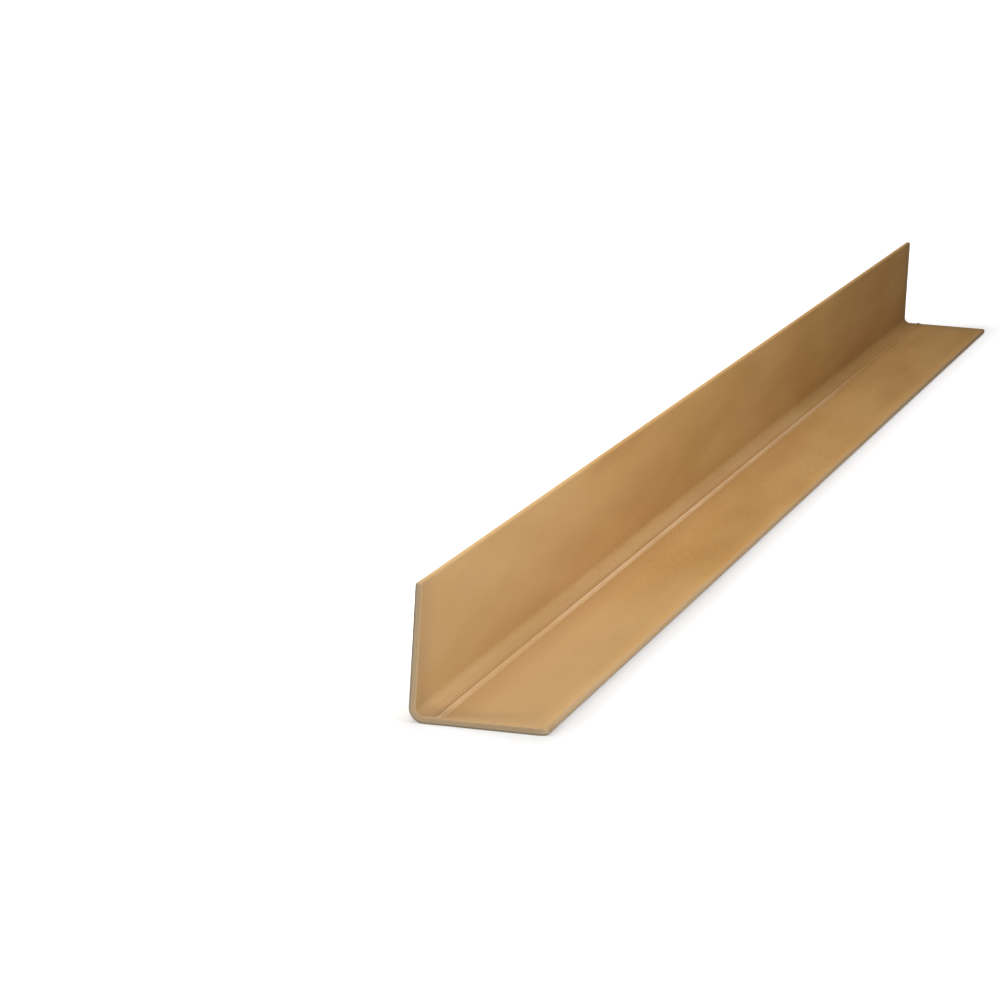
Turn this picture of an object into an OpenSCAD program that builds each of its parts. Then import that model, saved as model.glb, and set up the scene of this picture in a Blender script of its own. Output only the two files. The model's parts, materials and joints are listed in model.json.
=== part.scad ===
// Pallet edge protector: one long angle of laminated paperboard.
// Paper plies are glued flat on each other, wrapped in an outer kraft ply, and rolled into an angle while wet.
// The board lies on its flat leg, with its length along X and its upright leg at +Y.

/* [Legs] */
// Length of the board, from cut end to cut end
board_l = 1200; // [200:10:2400]
// Width of the leg that lies flat, from the back face to its long edge
flat_leg_w = 50; // [36:1:100]
// Height of the leg that stands up, from the base face to its long edge
upright_leg_w = 50; // [36:1:100]
// Thickness of the laminated plies
board_t = 2.5; // [2:0.1:6]

/* [Bend and long edges] */
// Radius of the rolled bend, on the inside of the angle
inner_bend_r = 3.2; // [1:0.1:8]
// Rounding of the long edges, where the outer ply folds over the others
long_edge_r = 0.9; // [0.3:0.05:0.95]

/* [Lap of the outer ply] */
// Flat run on the inside of the flat leg, from the end of the bend to the lap
lap_offset = 3.6; // [1:0.1:10]
// Run over which the outer ply climbs onto its own other edge
lap_ramp_w = 0.7; // [0.2:0.1:2]
// Width of the level top of the lap, up to the ply's cut edge
lap_top_w = 1.7; // [0.5:0.1:6]
// Thickness of the outer ply, which is the height of the lap
outer_ply_t = 0.35; // [0.15:0.05:0.7]

/* [Hidden] */
$fn = 96;

// Both faces of the bend share one axis, and each leg's flat part starts where the bend ends
outer_bend_r = inner_bend_r + board_t;

// Back face of the upright leg, with the flat leg centred on the X axis
back_y = flat_leg_w / 2;

// Section of one leg's flat part, from the end of the bend at x = 0 out to its rounded long edge
module leg_section(flat_w) {
    square([flat_w - long_edge_r, board_t]);
    translate([flat_w - long_edge_r, long_edge_r])
        square([long_edge_r, board_t - 2 * long_edge_r]);
    for (height = [long_edge_r, board_t - long_edge_r])
        translate([flat_w - long_edge_r, height])
            circle(r = long_edge_r);
}

// Section of the rolled bend: a quarter ring about the bend's axis, which is at the origin
module bend_section() {
    intersection() {
        difference() {
            circle(r = outer_bend_r);
            circle(r = inner_bend_r);
        }
        translate([0, -outer_bend_r])
            square(outer_bend_r);
    }
}

// Section of the lap: a ramp on the side of the bend, a level top, and the ply's square cut edge
module lap_section() {
    polygon([
        [0, 0],
        [-lap_ramp_w, outer_ply_t],
        [-lap_ramp_w - lap_top_w, outer_ply_t],
        [-lap_ramp_w - lap_top_w, 0]
    ]);
}

// Section of the whole board, with y across the flat leg and z up, seen along the length
module board_section() {
    translate([back_y - outer_bend_r, outer_bend_r]) {
        bend_section();
        translate([0, -inner_bend_r])
            rotate(180)
                leg_section(flat_leg_w - outer_bend_r);
        translate([-lap_offset, -inner_bend_r])
            lap_section();
        translate([outer_bend_r, 0])
            rotate(90)
                leg_section(upright_leg_w - outer_bend_r);
    }
}

module angle_board() {
    color("tan")
        translate([-board_l / 2, 0, 0])
            rotate([90, 0, 90])
                linear_extrude(board_l)
                    board_section();
}

angle_board();
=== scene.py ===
import json
import math
import bpy
from mathutils import Matrix, Vector


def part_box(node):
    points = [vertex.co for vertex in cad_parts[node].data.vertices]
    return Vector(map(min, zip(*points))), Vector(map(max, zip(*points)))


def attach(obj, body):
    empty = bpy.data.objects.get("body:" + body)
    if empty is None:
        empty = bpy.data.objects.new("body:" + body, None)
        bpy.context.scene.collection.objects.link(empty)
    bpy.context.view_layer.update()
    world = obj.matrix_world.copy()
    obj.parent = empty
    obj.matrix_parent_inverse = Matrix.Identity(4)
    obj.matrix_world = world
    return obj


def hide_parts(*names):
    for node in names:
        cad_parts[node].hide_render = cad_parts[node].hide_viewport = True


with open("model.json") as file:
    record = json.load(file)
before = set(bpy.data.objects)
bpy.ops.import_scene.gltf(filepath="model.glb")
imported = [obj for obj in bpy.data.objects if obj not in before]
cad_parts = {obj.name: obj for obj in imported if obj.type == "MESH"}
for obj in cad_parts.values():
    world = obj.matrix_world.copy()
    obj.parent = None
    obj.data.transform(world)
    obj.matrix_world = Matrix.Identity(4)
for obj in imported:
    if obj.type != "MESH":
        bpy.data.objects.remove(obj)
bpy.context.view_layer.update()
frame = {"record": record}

# Angle board: recycled paper plies glued flat on each other and wrapped in one kraft ply, whose edges lap
# on the inside of the flat leg. The flat blank is rolled into an angle while the glue is wet, and then cut
# to length.
board_low, board_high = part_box("angle_board")
mount_places = {mount["name"]: mount["pos_m"] for mount in frame["record"]["mounts"]}
board_length = board_high.x - board_low.x
flat_leg_width = board_high.y - board_low.y
upright_leg_height = board_high.z - board_low.z
board_thickness = mount_places["flat_leg_inner_face"][2]
back_face = board_high.y

inner_bend_radius = 0.0032
outer_bend_radius = inner_bend_radius + board_thickness
long_edge_radius = 0.0009
lap_offset = 0.0036
lap_ramp_width = 0.0007
lap_top_width = 0.0017
outer_ply = 0.00035
lap_ramp_softness = 0.0003
lap_cut_softness = 0.00006
under_lap_offset = 0.0017
groove_half_width = 0.0003
groove_depth = 0.00006
lap_wander = 0.00022
lap_lift = 0.00010

ply_count = 7
ply_gap = 0.00005
ply_strip_length = 0.002
end_recess = 0.00012
toe_corner_wear = 0.0038
corner_wear = 0.0008
corner_wear_reach = 0.006

# The blank is drawn flat: across runs from the flat leg's long edge to the upright leg's, and depth runs
# from the outside in
flat_run = flat_leg_width - outer_bend_radius
upright_run = upright_leg_height - outer_bend_radius
bend_run = math.pi / 2 * (outer_bend_radius + inner_bend_radius) / 2
bend_end = flat_run + bend_run
blank_width = flat_run + bend_run + upright_run
scuff_and_shade_width = 0.0014
worn_width = 0.0042
shaded_width = 0.012
bend_steps = 14
leg_steps = 8
worn_steps = 5


def between(start, end, steps):
    return [start + (end - start) * step / steps for step in range(steps + 1)]


def blank_outline():
    """Points of the flat blank's section, outside first, each with its corner radius, wear and painted
    light.
    """
    lap_foot = flat_run - lap_offset
    lap_edge = lap_foot - lap_ramp_width - lap_top_width
    lap_height = board_thickness + outer_ply
    groove = lap_foot + under_lap_offset
    groove_foot = board_thickness - groove_depth
    bend_shine = 0.35
    points = []

    def draw(places, depth, **marks):
        points.extend({"across": across, "depth": depth, **marks} for across in places)

    # Outside face, from the flat leg's long edge to the upright leg's
    # The long edges get a grey scuff that is partly wear and partly painted shade
    draw([0], 0, corner_radius=long_edge_radius, scuff=1)
    draw(between(scuff_and_shade_width, worn_width, worn_steps), 0)
    draw(between(worn_width, flat_run, leg_steps)[1:], 0)
    draw(between(flat_run, bend_end, bend_steps)[1:], 0)
    draw(between(bend_end, blank_width - scuff_and_shade_width, leg_steps)[1:], 0)
    draw([blank_width], 0, corner_radius=long_edge_radius, scuff=0.5)

    # Inside face of the upright leg and the bend, with a painted highlight that grows across the bend
    # towards the lap
    draw([blank_width], board_thickness, corner_radius=long_edge_radius, scuff=0.2)
    draw(between(blank_width - scuff_and_shade_width, bend_end, leg_steps), board_thickness)
    for step, across in enumerate(between(bend_end, flat_run, bend_steps)[1:], 1):
        draw([across], board_thickness, shine=bend_shine * step / bend_steps)

    # The lap, with painted shade in shallow grooves at its foot and where the ply's under edge presses
    # through
    # Painted highlights lie on the grooves' rims, the lap's top and its cut edge
    draw([groove + groove_half_width], board_thickness, shine=0.4)
    draw([groove], groove_foot, shine=0.2, crease=0.3)
    draw([groove - groove_half_width], board_thickness, shine=0.35)
    draw([lap_foot + groove_half_width], board_thickness, shine=0.2, crease=0.3)
    draw([lap_foot], groove_foot, crease=0.75)
    draw([lap_foot - lap_ramp_width], lap_height, corner_radius=lap_ramp_softness, shine=1)
    draw([lap_edge], lap_height, corner_radius=lap_cut_softness, shine=0.8, lap_edge=1, lap_top=1)
    draw([lap_edge], board_thickness, corner_radius=lap_cut_softness, shine=0.8, lap_edge=1)
    draw([lap_edge - groove_half_width], board_thickness, shine=0.55)
    draw([lap_edge - 3 * groove_half_width], board_thickness, crease=0.32)

    # Inside face of the flat leg, out to its long edge, with the painted shade beside the lap fading out
    draw(between(lap_edge - shaded_width, worn_width, leg_steps), board_thickness)
    draw(between(worn_width, scuff_and_shade_width, worn_steps)[1:], board_thickness)
    draw([0], board_thickness, corner_radius=long_edge_radius, scuff=1)
    return points


def add(tree, kind, *inputs, named=None, **settings):
    """One node, with its settings made and its inputs linked or set, in order or by name or number."""
    made = tree.nodes.new(kind)
    for name, value in settings.items():
        setattr(made, name, value)
    pairs = list(zip(made.inputs, inputs))
    pairs += [(made.inputs[name], value) for name, value in (named or {}).items()]
    for socket, value in pairs:
        if isinstance(value, bpy.types.NodeSocket):
            tree.links.new(value, socket)
        elif value is not None:
            socket.default_value = value
    return made


def made_by(tree, kind, *inputs, **settings):
    return add(tree, kind, *inputs, **settings).outputs[0]


def calculate(tree, operation, *inputs):
    return made_by(tree, "ShaderNodeMath", *inputs, operation=operation)


def split_axes(tree, place):
    return add(tree, "ShaderNodeSeparateXYZ", place).outputs


def join_axes(tree, *axes):
    return made_by(tree, "ShaderNodeCombineXYZ", *axes)


def remap(tree, value, from_range, to_range=(0.0, 1.0)):
    return made_by(tree, "ShaderNodeMapRange", value, *from_range, *to_range,
                   interpolation_type="SMOOTHSTEP")


def rounding(tree, radius, distance):
    """How far a quarter-round edge of the radius falls back, at a distance in from the edge."""
    inside = calculate(tree, "MAXIMUM", calculate(tree, "SUBTRACT", radius, distance), 0.0)
    radius_squared = calculate(tree, "POWER", radius, 2.0)
    rest = calculate(tree, "SUBTRACT", radius_squared, calculate(tree, "POWER", inside, 2.0))
    reached = calculate(tree, "SQRT", calculate(tree, "MAXIMUM", rest, 0.0))
    return calculate(tree, "SUBTRACT", radius, reached)


def marked_on(tree, name, kind="FLOAT"):
    return made_by(tree, "GeometryNodeInputNamedAttribute", name, data_type=kind)


def mark_cut_end(tree, geometry, chosen):
    return made_by(tree, "GeometryNodeStoreNamedAttribute", data_type="BOOLEAN", domain="FACE",
                   named={"Geometry": geometry, "Name": "cut_end", "Value": chosen})


def swept_body(tree, given, body_half):
    """The blank's body, swept along the length and stopped a hair short of the ply ends."""
    outline = made_by(tree, "GeometryNodeMeshToCurve", given["Blank outline"])
    rounded = made_by(tree, "GeometryNodeFilletCurve", mode="POLY", named={
        "Curve": outline, "Count": given["Corner steps"], "Radius": marked_on(tree, "corner_radius"),
        "Limit Radius": True})
    near_end = join_axes(tree, calculate(tree, "MULTIPLY", body_half, -1.0))
    far_end = join_axes(tree, body_half)
    path = made_by(tree, "GeometryNodeCurvePrimitiveLine", named={"Start": near_end, "End": far_end})
    path_steps = made_by(tree, "GeometryNodeResampleCurve",
                         named={"Curve": path, "Count": given["Length steps"]})
    upright = made_by(tree, "GeometryNodeSetCurveNormal", mode="FREE",
                      named={"Curve": path_steps, "Normal": (0, 1, 0)})
    return made_by(tree, "GeometryNodeCurveToMesh",
                   named={"Curve": upright, "Profile Curve": rounded, "Fill Caps": True})


def uneven_lap(tree, given, body):
    """The body with a lap whose cut edge wanders a little and lifts here and there along the length."""
    wander_scale = 45.0
    wander_detail = 3.0
    lift_scale = 28.0
    lift_start = 40.0
    lift_detail = 2.0
    lift_range = (0.45, 0.75)
    along = split_axes(tree, made_by(tree, "GeometryNodeInputPosition"))["X"]

    def noise_along(scale, start, detail):
        at = calculate(tree, "ADD", calculate(tree, "MULTIPLY", along, scale), start)
        return made_by(tree, "ShaderNodeTexNoise", noise_dimensions="1D",
                       named={"W": at, "Scale": 1.0, "Detail": detail})

    swing = calculate(tree, "SUBTRACT", noise_along(wander_scale, given["Seed"], wander_detail), 0.5)
    sideways = calculate(tree, "MULTIPLY", calculate(tree, "MULTIPLY", swing, given["Lap wander"]), 2.0)
    lifted = remap(tree, noise_along(lift_scale, lift_start, lift_detail), lift_range)
    raised = calculate(tree, "MULTIPLY", lifted, given["Lap lift"])
    shift = join_axes(tree, 0.0, calculate(tree, "MULTIPLY", sideways, marked_on(tree, "lap_edge")),
                      calculate(tree, "MULTIPLY", raised, marked_on(tree, "lap_top")))
    return made_by(tree, "GeometryNodeSetPosition", body, None, None, shift)


def ply_end_strips(tree, given, half, from_edge):
    """The plies' own ends: thin strips across both ends of the blank, each cut a hair longer or shorter."""
    cut_back_share = 0.8
    pitch = calculate(tree, "DIVIDE", given["Board thickness"], given["Ply count"])
    strip_height = calculate(tree, "SUBTRACT", pitch, given["Ply gap"])
    both_gaps = calculate(tree, "MULTIPLY", given["Ply gap"], 2.0)
    strip_width = calculate(tree, "SUBTRACT", given["Blank width"], both_gaps)
    strip_size = join_axes(tree, given["Ply strip length"], strip_width, strip_height)
    strip = made_by(tree, "GeometryNodeMeshCube",
                    named={"Size": strip_size, "Vertices Y": given["Width steps"]})

    # One point in the middle of each strip, for the stack of plies at each end
    half_strip = calculate(tree, "MULTIPLY", given["Ply strip length"], 0.5)
    strip_at = calculate(tree, "SUBTRACT", half, half_strip)
    middle = calculate(tree, "MULTIPLY", given["Blank width"], 0.5)
    first_depth = calculate(tree, "MULTIPLY", pitch, 0.5)
    near_start = join_axes(tree, calculate(tree, "MULTIPLY", strip_at, -1.0), middle, first_depth)
    far_start = join_axes(tree, strip_at, middle, first_depth)
    both_ends = made_by(tree, "GeometryNodeMeshLine", mode="END_POINTS",
                        named={"Count": 2, "Start Location": near_start, "Offset": far_start})
    stack = made_by(tree, "GeometryNodeMeshLine",
                    named={"Count": given["Ply count"], "Offset": join_axes(tree, 0.0, 0.0, pitch)})
    stacks = made_by(tree, "GeometryNodeInstanceOnPoints", named={"Points": both_ends, "Instance": stack})
    ply_points = made_by(tree, "GeometryNodeRealizeInstances", stacks)

    # The random node's fourth input is its largest number, and its second output the number drawn
    random = add(tree, "FunctionNodeRandomValue", named={3: given["End recess"], "Seed": given["Seed"]})
    along = split_axes(tree, made_by(tree, "GeometryNodeInputPosition"))["X"]
    inward = calculate(tree, "MULTIPLY", calculate(tree, "SIGN", along), random.outputs[1])
    cut_back = join_axes(tree, calculate(tree, "MULTIPLY", inward, -cut_back_share))
    cut_points = made_by(tree, "GeometryNodeSetPosition", ply_points, None, None, cut_back)
    strips = made_by(tree, "GeometryNodeInstanceOnPoints", named={"Points": cut_points, "Instance": strip})
    square_ends = made_by(tree, "GeometryNodeRealizeInstances", strips)

    # The ply ends draw together where the long edges are rounded
    flat = split_axes(tree, made_by(tree, "GeometryNodeInputPosition"))
    edge_depth = rounding(tree, given["Long edge radius"], from_edge)
    mid_depth = calculate(tree, "MULTIPLY", given["Board thickness"], 0.5)
    squeeze = calculate(tree, "SUBTRACT", 1.0, calculate(tree, "DIVIDE", edge_depth, mid_depth))
    from_mid = calculate(tree, "MULTIPLY", calculate(tree, "SUBTRACT", flat["Z"], mid_depth), squeeze)
    squeezed = join_axes(tree, flat["X"], flat["Y"], calculate(tree, "ADD", mid_depth, from_mid))
    return made_by(tree, "GeometryNodeSetPosition", square_ends, None, squeezed)


def worn_along(tree, given, flat, half, body_half, from_edge):
    """Places along the length with the ends' corners worn round, most of all the flat leg's near one."""
    middle = calculate(tree, "MULTIPLY", given["Blank width"], 0.5)
    by_flat_toe = calculate(tree, "LESS_THAN", flat["Y"], middle)
    by_near_end = calculate(tree, "LESS_THAN", flat["X"], 0.0)
    by_worn_corner = calculate(tree, "MULTIPLY", by_flat_toe, by_near_end)
    extra_wear = calculate(tree, "SUBTRACT", given["Toe corner wear"], given["Corner wear"])
    added_wear = calculate(tree, "MULTIPLY", by_worn_corner, extra_wear)
    worn_off = rounding(tree, calculate(tree, "ADD", given["Corner wear"], added_wear), from_edge)
    wear_starts = calculate(tree, "SUBTRACT", half, given["Corner wear reach"])
    near_cut = made_by(tree, "ShaderNodeMapRange", calculate(tree, "ABSOLUTE", flat["X"]), wear_starts,
                       body_half)
    drawn_in = calculate(tree, "MULTIPLY", calculate(tree, "MULTIPLY", worn_off, near_cut),
                         calculate(tree, "SIGN", flat["X"]))
    return calculate(tree, "SUBTRACT", flat["X"], drawn_in)


def rolled_place(tree, given, flat, along):
    """The blank rolled up: each depth turns about the bend's one axis, and the legs run straight on."""
    past_start = calculate(tree, "SUBTRACT", flat["Y"], given["Bend start"])
    share = made_by(tree, "ShaderNodeClamp", calculate(tree, "DIVIDE", past_start, given["Bend run"]))
    turn = calculate(tree, "MULTIPLY", share, math.pi / 2)
    before = calculate(tree, "MINIMUM", past_start, 0.0)
    after = calculate(tree, "MAXIMUM", calculate(tree, "SUBTRACT", past_start, given["Bend run"]), 0.0)
    straight = calculate(tree, "ADD", before, after)
    radius = calculate(tree, "SUBTRACT", given["Outer bend radius"], flat["Z"])
    cosine = calculate(tree, "COSINE", turn)
    sine = calculate(tree, "SINE", turn)
    axis_y = calculate(tree, "SUBTRACT", given["Back face"], given["Outer bend radius"])
    rolled_y = calculate(tree, "ADD", calculate(tree, "MULTIPLY", radius, sine),
                         calculate(tree, "MULTIPLY", straight, cosine))
    rolled_z = calculate(tree, "SUBTRACT", calculate(tree, "MULTIPLY", straight, sine),
                         calculate(tree, "MULTIPLY", radius, cosine))
    return join_axes(tree, along, calculate(tree, "ADD", axis_y, rolled_y),
                     calculate(tree, "ADD", given["Outer bend radius"], rolled_z))


def rolling_tree():
    """Geometry Nodes that sweep the blank, set the ply ends into both cut ends, and roll it all up."""
    end_facing = 0.9
    crisp_angle = math.radians(40)
    tree = bpy.data.node_groups.new("roll_the_board", "GeometryNodeTree")
    inputs = {
        "NodeSocketGeometry": ("Blank outline",),
        "NodeSocketFloat": (
            "Board length", "Blank width", "Bend start", "Bend run", "Outer bend radius", "Back face",
            "Board thickness", "Ply gap", "Ply strip length", "Long edge radius", "End recess",
            "Lap wander", "Lap lift", "Toe corner wear", "Corner wear", "Corner wear reach"),
        "NodeSocketInt": ("Ply count", "Length steps", "Width steps", "Corner steps", "Seed"),
        "NodeSocketMaterial": ("Kraft ply", "Cut plies"),
    }
    for kind, names in inputs.items():
        for name in names:
            tree.interface.new_socket(name, in_out="INPUT", socket_type=kind)
    tree.interface.new_socket("Board", in_out="OUTPUT", socket_type="NodeSocketGeometry")
    given = tree.nodes.new("NodeGroupInput").outputs
    half = calculate(tree, "MULTIPLY", given["Board length"], 0.5)
    body_half = calculate(tree, "SUBTRACT", half, given["End recess"])
    flat = split_axes(tree, made_by(tree, "GeometryNodeInputPosition"))
    from_far_edge = calculate(tree, "SUBTRACT", given["Blank width"], flat["Y"])
    from_edge = calculate(tree, "MINIMUM", flat["Y"], from_far_edge)

    body = uneven_lap(tree, given, swept_body(tree, given, body_half))
    facing = split_axes(tree, made_by(tree, "GeometryNodeInputNormal"))["X"]
    is_end = calculate(tree, "GREATER_THAN", calculate(tree, "ABSOLUTE", facing), end_facing)
    ply_ends = ply_end_strips(tree, given, half, from_edge)
    blank = tree.nodes.new("GeometryNodeJoinGeometry")
    tree.links.new(mark_cut_end(tree, ply_ends, True), blank.inputs[0])
    tree.links.new(mark_cut_end(tree, body, is_end), blank.inputs[0])
    along = worn_along(tree, given, flat, half, body_half, from_edge)
    board = made_by(tree, "GeometryNodeSetPosition", blank.outputs[0], None,
                    rolled_place(tree, given, flat, along))

    # Soft shading over the bends, with the cut edges left crisp
    edge_angle = add(tree, "GeometryNodeInputMeshEdgeAngle").outputs["Unsigned Angle"]
    crisp = calculate(tree, "GREATER_THAN", edge_angle, crisp_angle)
    smooth = made_by(tree, "GeometryNodeSetShadeSmooth", board, None, True, domain="FACE")
    creased = made_by(tree, "GeometryNodeSetShadeSmooth", smooth, crisp, False, domain="EDGE")
    whole = made_by(tree, "GeometryNodeRealizeInstances", creased)
    wrapped = made_by(tree, "GeometryNodeSetMaterial", whole, None, given["Kraft ply"])
    cut_end = marked_on(tree, "cut_end", "BOOLEAN")
    finished = made_by(tree, "GeometryNodeSetMaterial", wrapped, cut_end, given["Cut plies"])
    add(tree, "NodeGroupOutput", finished)
    return tree


def object_place(tree):
    return add(tree, "ShaderNodeTexCoord").outputs["Object"]


def paper_fibre_group():
    """Fibre, cloud and fleck masks of pressed paper, drawn out along the board's length."""
    cloud_draw = (0.16, 1.0, 1.0)
    fibre_draw = (0.3, 1.0, 1.0)
    fleck_spread = 0.9
    mask_range = (0.3, 0.7)
    fleck_range = (0.72, 0.82)
    tree = bpy.data.node_groups.new("paper_fibre", "ShaderNodeTree")
    for name in ("Fibre size", "Cloud size"):
        tree.interface.new_socket(name, in_out="INPUT", socket_type="NodeSocketFloat")
    for name in ("Fibre", "Cloud", "Fleck"):
        tree.interface.new_socket(name, in_out="OUTPUT", socket_type="NodeSocketFloat")
    given = tree.nodes.new("NodeGroupInput").outputs
    place = object_place(tree)
    drawn_cloud = made_by(tree, "ShaderNodeMapping", place, None, None, cloud_draw)
    drawn_fibre = made_by(tree, "ShaderNodeMapping", place, None, None, fibre_draw)

    def noise(drawn, scale, **shape):
        return made_by(tree, "ShaderNodeTexNoise", named={"Vector": drawn, "Scale": scale, **shape})

    per_fibre = calculate(tree, "DIVIDE", 1.0, given["Fibre size"])
    per_cloud = calculate(tree, "DIVIDE", 1.0, given["Cloud size"])
    per_fleck = calculate(tree, "DIVIDE", fleck_spread, given["Fibre size"])
    fibre = remap(tree, noise(drawn_fibre, per_fibre, Detail=5.0, Roughness=0.62), mask_range)
    cloud = remap(tree, noise(drawn_cloud, per_cloud, Detail=2.5), mask_range)
    fleck = remap(tree, noise(drawn_fibre, per_fleck, Detail=1.0), fleck_range)
    add(tree, "NodeGroupOutput", fibre, cloud, fleck)
    return tree


paper_fibre = paper_fibre_group()


def fibre_masks(tree, fibre_size, cloud_size):
    return add(tree, "ShaderNodeGroup", node_tree=paper_fibre,
               named={"Fibre size": fibre_size, "Cloud size": cloud_size}).outputs


def blend_colours(tree, share, first, second):
    """A mix of two colours, which are the mix node's seventh and eighth inputs, on its third output."""
    return add(tree, "ShaderNodeMix", data_type="RGBA", named={0: share, 6: first, 7: second}).outputs[2]


def from_screen(red, green, blue):
    """A linear colour from screen values of 0 to 255."""
    def linear(value):
        share = value / 255
        return share / 12.92 if share <= 0.04045 else ((share + 0.055) / 1.055) ** 2.4
    return (linear(red), linear(green), linear(blue), 1.0)


def paper_material(name):
    material = bpy.data.materials.new(name)
    material.use_nodes = True
    return material, material.node_tree, material.node_tree.nodes["Principled BSDF"]


def raise_fibres(tree, paper, fibre, strength, distance):
    relief = made_by(tree, "ShaderNodeBump",
                     named={"Strength": strength, "Distance": distance, "Height": fibre})
    tree.links.new(relief, paper.inputs["Normal"])


def kraft_ply_material():
    """The wrapping ply: matt brown kraft, paler at the near end, with painted light at the lap and painted
    shade at the ends.
    """
    dark_kraft = from_screen(181, 138, 83)
    light_kraft = from_screen(204, 162, 106)
    pale_kraft = from_screen(201, 166, 119)
    fleck_brown = from_screen(140, 104, 66)
    scuffed_grey = from_screen(180, 154, 121)
    highlight_cream = from_screen(223, 193, 154)
    crease_brown = from_screen(140, 102, 66)
    end_shade_grey = from_screen(160, 132, 98)
    fibre_share = 0.45
    cloud_share = 0.55
    fleck_share = 0.3
    pale_stretch = (-0.55, -0.2)
    highlight_starts = (-0.6, -0.3)
    highlight_fades = (0.12, 0.5)
    crease_fades = (-0.1, 0.3)
    end_shade_reach = 0.028
    end_shade_stretch = (board_high.x - end_shade_reach, board_high.x)
    material, tree, paper = paper_material("kraft_ply")
    masks = fibre_masks(tree, fibre_size=0.0009, cloud_size=0.026)
    along = split_axes(tree, object_place(tree))["X"]

    # The ground: fibres and clouds, paler towards the near end, with a few dark flecks
    mottle = calculate(tree, "ADD", calculate(tree, "MULTIPLY", masks["Fibre"], fibre_share),
                       calculate(tree, "MULTIPLY", masks["Cloud"], cloud_share))
    deep = blend_colours(tree, mottle, dark_kraft, light_kraft)
    paler = calculate(tree, "MULTIPLY", remap(tree, along, pale_stretch, (0.75, 0.0)),
                      remap(tree, masks["Cloud"], (0.0, 1.0), (0.75, 1.0)))
    ground = blend_colours(tree, paler, deep, pale_kraft)
    flecks = calculate(tree, "MULTIPLY", masks["Fleck"], fleck_share)
    flecked = blend_colours(tree, flecks, ground, fleck_brown)

    # Wear and painted light: long edges scuffed and shaded, and a painted highlight on bend and lap
    # The highlight is strongest in the near half; painted shade lies beside the lap and at both ends.
    scuff, shine, crease = (add(tree, "ShaderNodeAttribute", attribute_name=name).outputs["Fac"]
                            for name in ("scuff", "shine", "crease"))
    # A patchy amount from the clouds that varies every mark below, wear, painted shade and highlight alike
    wear = remap(tree, masks["Cloud"], (0.1, 0.9), (0.55, 0.85))
    highlight_along = calculate(tree, "MULTIPLY", remap(tree, along, highlight_starts, (0.7, 1.0)),
                       remap(tree, along, highlight_fades, (1.0, 0.05)))
    highlight_amount = calculate(tree, "MULTIPLY", wear, highlight_along)
    crease_wear = calculate(tree, "MULTIPLY", wear, remap(tree, along, crease_fades, (1.0, 0.4)))
    # Painted shade darkens the last stretch at both cut ends
    end_shade = remap(tree, calculate(tree, "ABSOLUTE", along), end_shade_stretch, (0.0, 0.6))
    worn_and_painted = blend_colours(tree, calculate(tree, "MULTIPLY", scuff, wear), flecked, scuffed_grey)
    worn_and_painted = blend_colours(tree, calculate(tree, "MULTIPLY", shine, highlight_amount), worn_and_painted, highlight_cream)
    worn_and_painted = blend_colours(tree, calculate(tree, "MULTIPLY", crease, crease_wear), worn_and_painted, crease_brown)
    worn_and_painted = blend_colours(tree, calculate(tree, "MULTIPLY", end_shade, wear), worn_and_painted, end_shade_grey)
    tree.links.new(worn_and_painted, paper.inputs["Base Color"])
    tree.links.new(remap(tree, masks["Fibre"], (0.0, 1.0), (0.78, 0.92)), paper.inputs["Roughness"])
    paper.inputs["Specular IOR Level"].default_value = 0.01
    raise_fibres(tree, paper, masks["Fibre"], strength=0.25, distance=0.00008)
    return material


def cut_plies_material():
    """The plies' cut ends: pale recycled board, each ply of its own tone, darker along the outside edge."""
    outside_grey = from_screen(190, 171, 143)
    inside_tan = from_screen(213, 181, 139)
    dark_ply = from_screen(140, 122, 98)
    outer_edge_brown = from_screen(100, 86, 70)
    outer_edge_range = (0.6 * outer_ply, 1.8 * outer_ply)
    ply_share = 0.5
    fibre_share = 0.5
    material, tree, paper = paper_material("cut_plies")
    masks = fibre_masks(tree, fibre_size=0.0006, cloud_size=0.006)

    # Depth from the outside face, on either leg and round the bend, tells one ply from the next
    place = split_axes(tree, object_place(tree))
    from_axis_y = calculate(tree, "SUBTRACT", place["Y"], back_face - outer_bend_radius)
    from_axis_z = calculate(tree, "SUBTRACT", outer_bend_radius, place["Z"])
    out_y = calculate(tree, "MAXIMUM", from_axis_y, 0.0)
    out_z = calculate(tree, "MAXIMUM", from_axis_z, 0.0)
    squared = calculate(tree, "ADD", calculate(tree, "POWER", out_y, 2.0),
                        calculate(tree, "POWER", out_z, 2.0))
    depth = calculate(tree, "SUBTRACT", outer_bend_radius, calculate(tree, "SQRT", squared))
    ply_number = calculate(tree, "FLOOR", calculate(tree, "DIVIDE", depth, board_thickness / ply_count))
    ply_tone = made_by(tree, "ShaderNodeTexWhiteNoise", noise_dimensions="1D", named={"W": ply_number})
    tone = calculate(tree, "ADD", calculate(tree, "MULTIPLY", ply_tone, ply_share),
                     calculate(tree, "MULTIPLY", masks["Fibre"], fibre_share))
    graded = blend_colours(tree, remap(tree, depth, (0.0, board_thickness)), outside_grey, inside_tan)
    core = blend_colours(tree, remap(tree, tone, (0.0, 1.0), (0.35, 0.0)), graded, dark_ply)
    outer_edge = remap(tree, depth, outer_edge_range, (0.55, 0.0))
    tree.links.new(blend_colours(tree, outer_edge, core, outer_edge_brown), paper.inputs["Base Color"])
    tree.links.new(remap(tree, masks["Fibre"], (0.0, 1.0), (0.8, 0.95)), paper.inputs["Roughness"])
    paper.inputs["Specular IOR Level"].default_value = 0.02
    raise_fibres(tree, paper, masks["Fibre"], strength=0.6, distance=0.0001)
    return material


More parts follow.
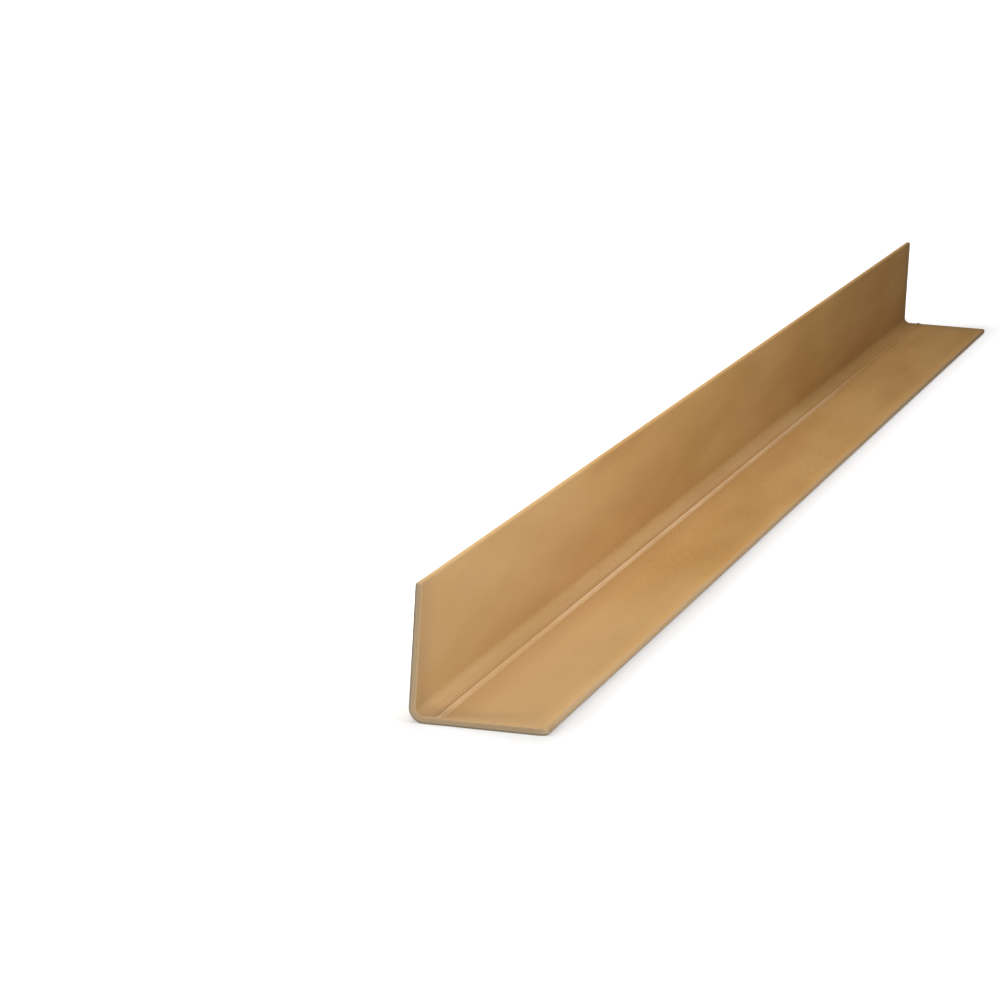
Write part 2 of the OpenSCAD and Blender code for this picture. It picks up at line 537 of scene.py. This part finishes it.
def make_angle_board():
    outline = blank_outline()
    count = len(outline)
    mesh = bpy.data.meshes.new("angle_board_outline")
    mesh.from_pydata([(point["across"], point["depth"], 0) for point in outline],
                     [(index, (index + 1) % count) for index in range(count)], [])
    for name in ("corner_radius", "scuff", "shine", "crease", "lap_edge", "lap_top"):
        values = [point.get(name, 0) for point in outline]
        mesh.attributes.new(name, "FLOAT", "POINT").data.foreach_set("value", values)
    maker = bpy.data.objects.new("angle_board_maker", mesh)
    bpy.context.scene.collection.objects.link(maker)
    roll = maker.modifiers.new("roll", "NODES")
    roll.node_group = rolling_tree()
    given = {
        "Board length": board_length, "Blank width": blank_width, "Bend start": flat_run,
        "Bend run": bend_run, "Outer bend radius": outer_bend_radius, "Back face": back_face,
        "Board thickness": board_thickness, "Ply gap": ply_gap, "Ply strip length": ply_strip_length,
        "Long edge radius": long_edge_radius, "End recess": end_recess, "Lap wander": lap_wander,
        "Lap lift": lap_lift, "Toe corner wear": toe_corner_wear, "Corner wear": corner_wear,
        "Corner wear reach": corner_wear_reach, "Ply count": ply_count, "Length steps": 420,
        "Width steps": 320, "Corner steps": 6, "Seed": 11, "Kraft ply": kraft_ply_material(),
        "Cut plies": cut_plies_material(),
    }
    for socket in roll.node_group.interface.items_tree:
        if socket.in_out == "INPUT" and socket.name in given:
            roll[socket.identifier] = given[socket.name]
    evaluated = maker.evaluated_get(bpy.context.evaluated_depsgraph_get())
    made = bpy.data.meshes.new_from_object(evaluated)
    bpy.data.objects.remove(maker)
    board = bpy.data.objects.new("paperboard_angle", made)
    bpy.context.scene.collection.objects.link(board)
    return board


board = make_angle_board()
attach(board, "root")
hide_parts("angle_board")

# Floor: a smooth white studio sheet under the board. It takes the board's soft shadow, and its own glow
# keeps it white to the edge of the picture, where the lamps reach it less.
floor_reach = 6.0
sheet_white = (0.65, 0.65, 0.65, 1)
near_glow = 0.06
near_glow_to = -0.3
far_glow = 0.58
far_glow_from = 0.7
past_end_share = 0.5
full_glow_range = (0.02, 0.09)


def seen_directly(tree):
    """Rays that show a surface as it looks to the camera, straight or by gloss and glass."""
    rays = add(tree, "ShaderNodeLightPath").outputs
    seen = calculate(tree, "MAXIMUM", rays["Is Camera Ray"], rays["Is Glossy Ray"])
    return calculate(tree, "MAXIMUM", seen, rays["Is Transmission Ray"])


def floor_sheet_material():
    """A matt white sheet that glows least beside the board, where its shadow falls."""
    material = bpy.data.materials.new("floor_sheet")
    material.use_nodes = True
    tree = material.node_tree
    tree.nodes.clear()
    place = split_axes(tree, object_place(tree))
    beside_board = made_by(tree, "ShaderNodeMapRange", place["X"], near_glow_to, far_glow_from,
                           near_glow, far_glow)
    past_end = calculate(tree, "SUBTRACT", calculate(tree, "ABSOLUTE", place["X"]), board_high.x)
    past_end = calculate(tree, "MULTIPLY", calculate(tree, "MAXIMUM", past_end, 0.0), past_end_share)
    squared = calculate(tree, "ADD", calculate(tree, "POWER", past_end, 2.0),
                        calculate(tree, "POWER", place["Y"], 2.0))
    away = remap(tree, calculate(tree, "SQRT", squared), full_glow_range)
    added_glow = calculate(tree, "MULTIPLY", away, calculate(tree, "SUBTRACT", 1.0, beside_board))
    sheet_glow = calculate(tree, "ADD", beside_board, added_glow)
    strength = calculate(tree, "MULTIPLY", seen_directly(tree), sheet_glow)
    lit_sheet = made_by(tree, "ShaderNodeBsdfDiffuse", sheet_white)
    glow = made_by(tree, "ShaderNodeEmission", (1, 1, 1, 1), strength)
    add(tree, "ShaderNodeOutputMaterial", made_by(tree, "ShaderNodeAddShader", lit_sheet, glow))
    return material


floor_mesh = bpy.data.meshes.new("floor")
floor_mesh.from_pydata([(-floor_reach, -floor_reach, 0), (floor_reach, -floor_reach, 0),
                        (floor_reach, floor_reach, 0), (-floor_reach, floor_reach, 0)], [], [(0, 1, 2, 3)])
floor_mesh.materials.append(floor_sheet_material())
floor = bpy.data.objects.new("floor", floor_mesh)
bpy.context.scene.collection.objects.link(floor)

# Studio light: a long soft lamp overhead, two low ones at the open side, a large one in front, and a long
# one high behind the upright leg, which throws that leg's shadow past the flat leg. The room itself is dim,
# and it looks white to the camera.
dim_level = 0.03
white_level = 1.0
world = bpy.data.worlds.new("studio")
bpy.context.scene.world = world
world.use_nodes = True
room = world.node_tree
room.nodes.clear()
dim_room = made_by(room, "ShaderNodeBackground", (1, 1, 1, 1), dim_level)
white_room = made_by(room, "ShaderNodeBackground", (1, 1, 1, 1), white_level)
add(room, "ShaderNodeOutputWorld",
    made_by(room, "ShaderNodeMixShader", seen_directly(room), dim_room, white_room))


def add_lamp(name, place, aim, size, watts):
    light = bpy.data.lights.new(name, "AREA")
    light.shape = "RECTANGLE"
    light.size, light.size_y = size
    light.energy = watts
    lamp = bpy.data.objects.new(name, light)
    turn = (Vector(aim) - Vector(place)).to_track_quat("-Z", "Y").to_matrix().to_4x4()
    lamp.matrix_world = Matrix.Translation(place) @ turn
    bpy.context.scene.collection.objects.link(lamp)


add_lamp("overhead", place=(-0.18, 0.08, 1.18), aim=(-0.18, 0, 0), size=(1.4, 0.5), watts=8.6)
add_lamp("open_side", place=(-0.58, -0.7, 0.36), aim=(-0.55, 0, 0.03), size=(0.5, 0.35), watts=3.0)
add_lamp("low_middle", place=(-0.15, -0.8, 0.2), aim=(-0.35, 0, 0.02), size=(0.6, 0.3), watts=1.1)
add_lamp("front", place=(-3.39, -0.35, 2.0), aim=(0, 0, 0), size=(1.0, 1.0), watts=38.0)
add_lamp("high_behind", place=(-0.6, 1.2, 1.15), aim=(-0.4, 0, 0.02), size=(1.2, 0.3), watts=26.0)

# Camera: a long lens from beyond the near end, a little to the open side and above. Its place, turn and
# focal length were fitted to the board's six corners in the photograph.
camera_place = (-2.2209, -0.3590, 0.3619)
camera_yaw = math.radians(12.371)
camera_pitch = math.radians(9.582)
camera_roll = math.radians(3.258)
picture_width = 1000
focal_length_in_pixels = 4856
sensor_width = 36.0
lens = bpy.data.cameras.new("camera")
lens.sensor_width = sensor_width
lens.lens = focal_length_in_pixels / picture_width * sensor_width
camera = bpy.data.objects.new("camera", lens)
heading = Matrix.Rotation(camera_yaw - math.pi / 2, 4, "Z")
tilt = Matrix.Rotation(math.pi / 2 - camera_pitch, 4, "X")
lean = Matrix.Rotation(camera_roll, 4, "Z")
camera.matrix_world = Matrix.Translation(camera_place) @ heading @ tilt @ lean
bpy.context.scene.collection.objects.link(camera)
bpy.context.scene.camera = camera
bpy.context.scene.view_settings.view_transform = "Standard"
